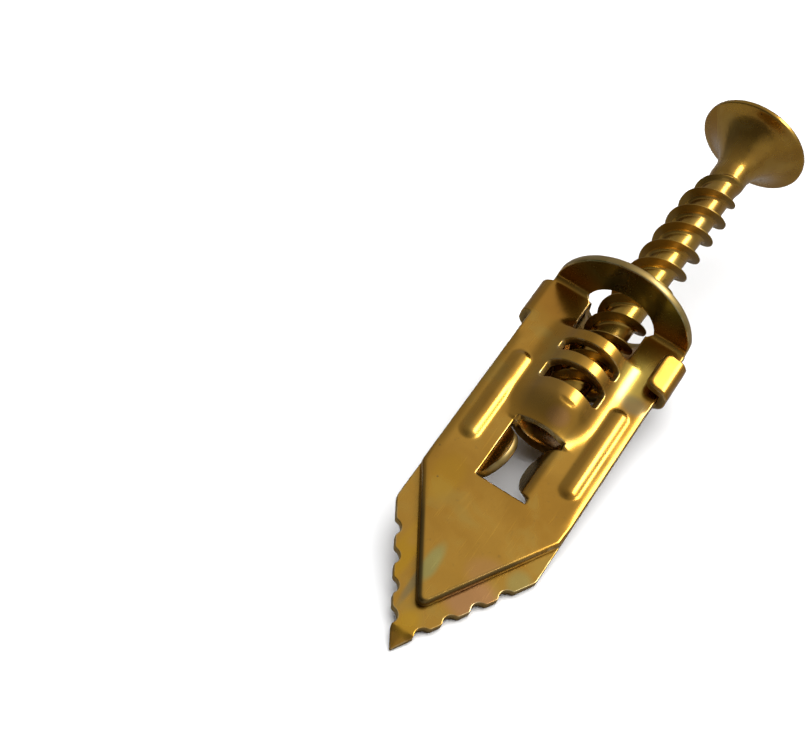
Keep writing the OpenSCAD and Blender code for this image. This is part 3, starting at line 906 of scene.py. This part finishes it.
LONG_TINTS_AND_SHADE = (
    # painted shade on the window's flap; the rest are tints of the plating
    ((0.9, 0.4, -15.9), (1.6, 1.1, 4.4), SHADED, 0.92),
    ((2.8, 0.0, -26.2), (0.8, 0.3, 4.6), AMBER, 0.8),
    ((1.2, 0.0, -27.6), (0.35, 0.3, 3.0), STEEL_BLUE, 0.6),
    ((-2.6, 0.0, -26.9), (2.2, 0.3, 2.0), PINK, 0.7),
    ((-4.6, 0.0, -24.0), (1.0, 0.3, 1.2), OLIVE, 0.5),
    ((0.0, 0.0, -31.0), (0.9, 0.3, 1.4), AMBER, 0.7),
    ((2.0, -0.6, -24.0), (2.6, 0.6, 3.4), PINK, 0.6),
    ((-2.2, -0.6, -19.0), (1.8, 0.6, 3.0), OLIVE, 0.6),
    ((1.0, -0.6, -3.0), (3.0, 2.0, 2.4), LEMON, 0.4),
)
RAGGED_PATCH_NOISE = 0.8
RAGGED_PATCH_EDGE = (0.9, 1.6)

TABLE_TONES = ((0.88, 0.88, 0.88, 1.0), (0.91, 0.91, 0.91, 1.0))
TABLE_MIRRORED = (0.19, 0.18, 0.165, 1.0)
TABLE_SCALE = 6.0


class Graph:
    """Short way to write the nodes of a material or of the world."""

    def __init__(self, owner):
        owner.use_nodes = True
        self.nodes = owner.node_tree.nodes
        self.links = owner.node_tree.links
        self.nodes.clear()

    def put(self, socket, value):
        if isinstance(value, bpy.types.NodeSocket):
            self.links.new(value, socket)
        else:
            socket.default_value = value

    def node(self, kind, settings=None, **sockets):
        """A new node; in a socket's name here, _ stands for a space."""
        made = self.nodes.new(kind)
        for key, value in (settings or {}).items():
            setattr(made, key, value)
        for key, value in sockets.items():
            self.put(made.inputs[key.replace("_", " ")], value)
        return made

    def filled(self, kind, settings, *values):
        """A new node whose first sockets are filled in their order."""
        made = self.node(kind, settings)
        for socket, value in zip(made.inputs, values):
            self.put(socket, value)
        return made

    def attribute(self, name, output):
        return self.node("ShaderNodeAttribute", {"attribute_name": name}).outputs[output]

    def math(self, operation, *values):
        return self.filled("ShaderNodeMath", {"operation": operation}, *values).outputs[0]

    def inverse(self, value):
        return self.math("SUBTRACT", 1.0, value)

    def mix(self, factor, a, b):
        made = self.node("ShaderNodeMix", {"data_type": "RGBA"})
        for socket, value in zip((made.inputs[0], made.inputs[6], made.inputs[7]), (factor, a, b)):
            self.put(socket, value)
        return made.outputs[2]

    def overlay(self, colour, tint, mask, strength):
        """The colour, with a tint where the mask is 1."""
        return self.mix(self.math("MULTIPLY", mask, strength), colour, tint)

    def noise(self, vector, scale, detail=3.0, roughness=0.55, distortion=0.0):
        made = self.node("ShaderNodeTexNoise", Vector=vector, Scale=scale, Detail=detail,
                         Roughness=roughness, Distortion=distortion)
        return made.outputs["Fac"]

    def band(self, value, low, high, start=0.0, end=1.0):
        """start where the value is below low, end above high and smooth between."""
        made = self.node("ShaderNodeMapRange", {"interpolation_type": "SMOOTHSTEP"}, Value=value,
                         From_Min=low, From_Max=high, To_Min=start, To_Max=end)
        return made.outputs[0]

    def ragged_patch(self, place, centre, size, noise):
        """1 inside a soft ragged patch of the surface, 0 outside; centre and size in mm."""
        moved = self.node("ShaderNodeMapping", {"vector_type": "TEXTURE"}, Vector=place,
                          Location=[v * MM for v in centre], Scale=[v * MM for v in size]).outputs[0]
        reach = self.node("ShaderNodeVectorMath", {"operation": "LENGTH"}, Vector=moved).outputs["Value"]
        ragged = self.math("MULTIPLY_ADD", noise, RAGGED_PATCH_NOISE, reach)
        return self.inverse(self.band(ragged, *RAGGED_PATCH_EDGE))

    def bump(self, height, strength, distance, under=None, invert=False):
        made = self.node("ShaderNodeBump", {"invert": invert}, Strength=strength, Distance=distance,
                         Height=height)
        if under is not None:
            self.put(made.inputs["Normal"], under)
        return made.outputs[0]


def plating_colour(g, moved, patch, finish):
    """Slow drift between two tones, soft patches of a tint and a fine dark grain."""
    drift = g.noise(moved, DRIFT_SCALE, detail=4.0, roughness=0.6, distortion=0.6)
    fine = g.noise(moved, FINE_SCALE, roughness=0.6)
    colour = g.mix(g.band(drift, 0.38, 0.62), finish["deep"], finish["base"])
    colour = g.overlay(colour, finish["tint"], g.band(patch, 0.5, 0.68), 0.5)
    return g.overlay(colour, finish["dark"], g.band(fine, 0.62, 0.75), 0.35)


def specks(g, moved):
    """Small dark dots that lie in groups."""
    cells = g.node("ShaderNodeTexVoronoi", Vector=moved, Scale=SPECK_SCALE).outputs["Distance"]
    dot = g.inverse(g.band(cells, 0.03, 0.07))
    return g.math("MULTIPLY", dot, g.band(g.noise(moved, SPECK_GROUPS), 0.55, 0.6))


def scratches(g, moved):
    """Fine drawing marks, nearly along the part."""
    stretched = g.node("ShaderNodeMapping", Vector=moved, Rotation=SCRATCH_TURN, Scale=SCRATCH_STRETCH)
    return g.band(g.noise(stretched.outputs[0], GRAIN_SCALE, detail=2.0, roughness=0.5), 0.63, 0.7)


def plated_steel(name, finish, seed, tints_and_shade=(), edge_shade=()):
    """Yellow passivated steel with drifting tints, stains, fine scratches, specks and worn edges, with painted
    shade on cut faces, on the screw's thread flanks and in given patches.
    """
    material = bpy.data.materials.new(name)
    g = Graph(material)
    place = g.attribute("own_place", "Vector")
    rim = g.attribute("rim_gap", "Fac")
    moved = g.node("ShaderNodeMapping", Vector=place, Location=(seed, 2 * seed, 3 * seed)).outputs[0]
    patch = g.noise(moved, PATCH_SCALE, roughness=0.5, distortion=0.3)
    scratch = scratches(g, moved)
    worn = g.inverse(g.band(rim, *WORN_EDGE))
    worn = g.math("MULTIPLY", worn, g.band(g.noise(moved, WEAR_SCALE), 0.42, 0.6))
    # cut faces and the screw's thread flanks: a dull sheared colour that is also painted shade
    sheared_and_shaded = g.inverse(g.band(rim, *SHEARED_AND_SHADED_EDGE))
    # near the short plate's point edges, for the painted shade there
    near_edge = g.inverse(g.band(rim, *EDGE_SHADE_BAND))

    colour = plating_colour(g, moved, patch, finish)
    # tints of the plating, and painted shade on the window flaps and the flange's underside
    for centre, size, tint, strength in tints_and_shade:
        colour = g.overlay(colour, tint, g.ragged_patch(place, centre, size, patch), strength)
    colour = g.overlay(colour, finish["speck"], specks(g, moved), SPECK_STRENGTH)
    colour = g.overlay(colour, finish["bare"], worn, finish["wear"])
    colour = g.overlay(colour, finish["cut_and_shade"], sheared_and_shaded, CUT_AND_SHADE_STRENGTH)
    # painted shade along the short plate's point edges
    for centre, size, tint, strength in edge_shade:
        mask = g.math("MULTIPLY", g.ragged_patch(place, centre, size, patch), near_edge)
        colour = g.overlay(colour, tint, mask, strength)

    rough = g.math("MULTIPLY_ADD", g.band(patch, 0.3, 0.7), PATCH_ROUGH, ROUGHNESS)
    rough = g.math("MULTIPLY_ADD", scratch, SCRATCH_ROUGH, rough)
    rough = g.math("MULTIPLY_ADD", sheared_and_shaded, CUT_ROUGH, rough)

    waves = g.noise(moved, finish["wave_scale"], detail=4.0, roughness=0.6)
    grain = g.noise(moved, GRAIN_SCALE, detail=4.0, roughness=0.65)
    normal = g.bump(waves, WAVE_BUMP, finish["wave_height"])
    normal = g.bump(grain, GRAIN_BUMP, GRAIN_HEIGHT, normal)
    normal = g.bump(scratch, SCRATCH_BUMP, GRAIN_HEIGHT, normal, invert=True)
    shader = g.node("ShaderNodeBsdfPrincipled", Base_Color=colour, Metallic=1.0, Roughness=rough,
                    Normal=normal, Coat_Weight=COAT, Coat_Roughness=COAT_ROUGHNESS)
    g.node("ShaderNodeOutputMaterial", Surface=shader.outputs[0])
    return material


def table_white():
    """Matt white table, which the metal mirrors as a darker one."""
    material = bpy.data.materials.new("table_white")
    g = Graph(material)
    place = g.node("ShaderNodeTexCoord").outputs["Object"]
    colour = g.mix(g.band(g.noise(place, TABLE_SCALE, detail=2.0), 0.2, 0.8), *TABLE_TONES)
    mirrored = g.node("ShaderNodeLightPath").outputs["Is Glossy Ray"]
    matt = g.node("ShaderNodeBsdfDiffuse", Color=g.mix(mirrored, colour, TABLE_MIRRORED))
    g.node("ShaderNodeOutputMaterial", Surface=matt.outputs[0])
    return material


# ---- the anchor ----
def build_plate(plate, placing, material):
    """The sheet of one plate."""
    loops = [blank_outline(plate), flange_hole(plate), window_outline()]
    loops += [slot_outline(start, end) for start, end in plate.slots]
    return new_object(plate.name + "_sheet", sheet_mesh(loops, plate), placing, material)


def dress(piece, node, material):
    """The piece stands for its node, which gets the same material."""
    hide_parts(node)
    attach(piece, node)
    shown = frame["nodes"][node]
    shown.data.materials.clear()
    shown.data.materials.append(material)
    return [piece, shown]


def add_anchor():
    """Builds the three pieces; returns them with the nodes that they stand for."""
    plates = plate_frame()
    turned = plates @ Matrix.Rotation(math.pi, 4, "Z")
    short_steel = plated_steel("zinc_short", PLATE_FINISH, 0.11, SHORT_TINTS_AND_SHADE, SHORT_POINT_EDGE_SHADE)
    long_steel = plated_steel("zinc_long", PLATE_FINISH, 0.37, LONG_TINTS_AND_SHADE)
    screw_steel = plated_steel("zinc_screw", SCREW_FINISH, 0.23)
    short_sheet = build_plate(SHORT, plates, short_steel)
    long_sheet = build_plate(LONG, turned, long_steel)
    screw_body = new_object("screw_body", screw_mesh(), screw_frame(plates), screw_steel)
    return (dress(short_sheet, "short_plate", short_steel)
            + dress(long_sheet, "long_plate", long_steel)
            + dress(screw_body, "screw", screw_steel))


# ---- table, light and camera ----
TABLE_HALF = 0.6
AIM = (0.0, 0.0, 0.005)

# a lobe of light: its direction, cosines where it starts and is full, strengths outside and in it
SKY = ((0.25, 0.35, 0.9), 0.5, 0.92, 0.0, 3.7)
STUDIO = (
    ((0.1, 0.75, 0.65), -0.3, 1.0, 0.08, 0.33),     # a wide wall behind
    ((0.5, 0.5, 0.71), 0.72, 1.0, 0.0, 0.36),       # a panel high on the right
    ((0.85, -0.47, 0.24), 0.6, 1.0, 0.0, 0.32),     # a low one at the front right
)

CAMERA_AT = (0.0460014, -0.1103232, 0.1062054)
CAMERA_TURN = (49.28962, -1.89059, 30.32250)
CAMERA_LENS = 97.658
SENSOR_W = 36.0
CLIP_START = 0.01


def add_table():
    corners = [(x * TABLE_HALF, y * TABLE_HALF, 0) for x, y in ((-1, -1), (1, -1), (1, 1), (-1, 1))]
    mesh = bpy.data.meshes.new("table")
    mesh.from_pydata(corners, [], [(0, 1, 2, 3)])
    mesh.materials.append(table_white())
    table = bpy.data.objects.new("table", mesh)
    bpy.context.scene.collection.objects.link(table)


def add_light(name, azimuth, elevation, roll, distance, size, power):
    """A rectangular soft light that looks at the anchor; azimuth runs from +X towards +Y, in degrees."""
    a, e = math.radians(azimuth), math.radians(elevation)
    way = Vector((math.cos(e) * math.cos(a), math.cos(e) * math.sin(a), math.sin(e)))
    data = bpy.data.lights.new(name, "AREA")
    data.shape = "RECTANGLE"
    data.size, data.size_y = size
    data.energy = power
    light = bpy.data.objects.new(name, data)
    light.location = Vector(AIM) + way * distance
    turn = way.to_track_quat("Z", "Y").to_matrix() @ Matrix.Rotation(math.radians(roll), 3, "Z")
    light.rotation_euler = turn.to_euler()
    bpy.context.scene.collection.objects.link(light)
    return light


def only_for(light, objects):
    """The light reaches only those objects; everything still throws its shadow in it."""
    receivers = bpy.data.collections.new(light.name + "_receivers")
    for obj in objects:
        receivers.objects.link(obj)
    light.light_linking.receiver_collection = receivers


def glow(g, place, way, start, full, low, high):
    """White light around a direction of the world."""
    facing = g.filled("ShaderNodeVectorMath", {"operation": "DOT_PRODUCT"}, place, Vector(way).normalized())
    strength = g.band(facing.outputs["Value"], start, full, low, high)
    return g.node("ShaderNodeBackground", Color=WHITE, Strength=strength).outputs[0]


def add_world():
    """Soft light from above for the table, and a studio that only the metal mirrors."""
    world = bpy.data.worlds.new("studio")
    bpy.context.scene.world = world
    g = Graph(world)
    world.cycles.sampling_method = "NONE"
    place = g.node("ShaderNodeTexCoord").outputs["Generated"]
    studio = glow(g, place, *STUDIO[0])
    for lobe in STUDIO[1:]:
        studio = g.filled("ShaderNodeAddShader", {}, studio, glow(g, place, *lobe)).outputs[0]
    mirrored = g.node("ShaderNodeLightPath").outputs["Is Glossy Ray"]
    seen = g.filled("ShaderNodeMixShader", {}, mirrored, glow(g, place, *SKY), studio)
    g.node("ShaderNodeOutputWorld", Surface=seen.outputs[0])


def add_camera():
    """The photograph's view."""
    data = bpy.data.cameras.new("camera")
    data.sensor_fit = "HORIZONTAL"
    data.sensor_width = SENSOR_W
    data.lens = CAMERA_LENS
    data.clip_start = CLIP_START
    camera = bpy.data.objects.new("camera", data)
    camera.location = CAMERA_AT
    camera.rotation_euler = [math.radians(a) for a in CAMERA_TURN]
    bpy.context.scene.collection.objects.link(camera)
    bpy.context.scene.camera = camera


anchor = add_anchor()
add_table()
key = add_light("key", azimuth=41.6, elevation=39.4, roll=-27, distance=0.5, size=(0.36, 0.16), power=1.75)
only_for(key, anchor)
add_world()
add_camera()
bpy.context.scene.view_settings.view_transform = "Standard"
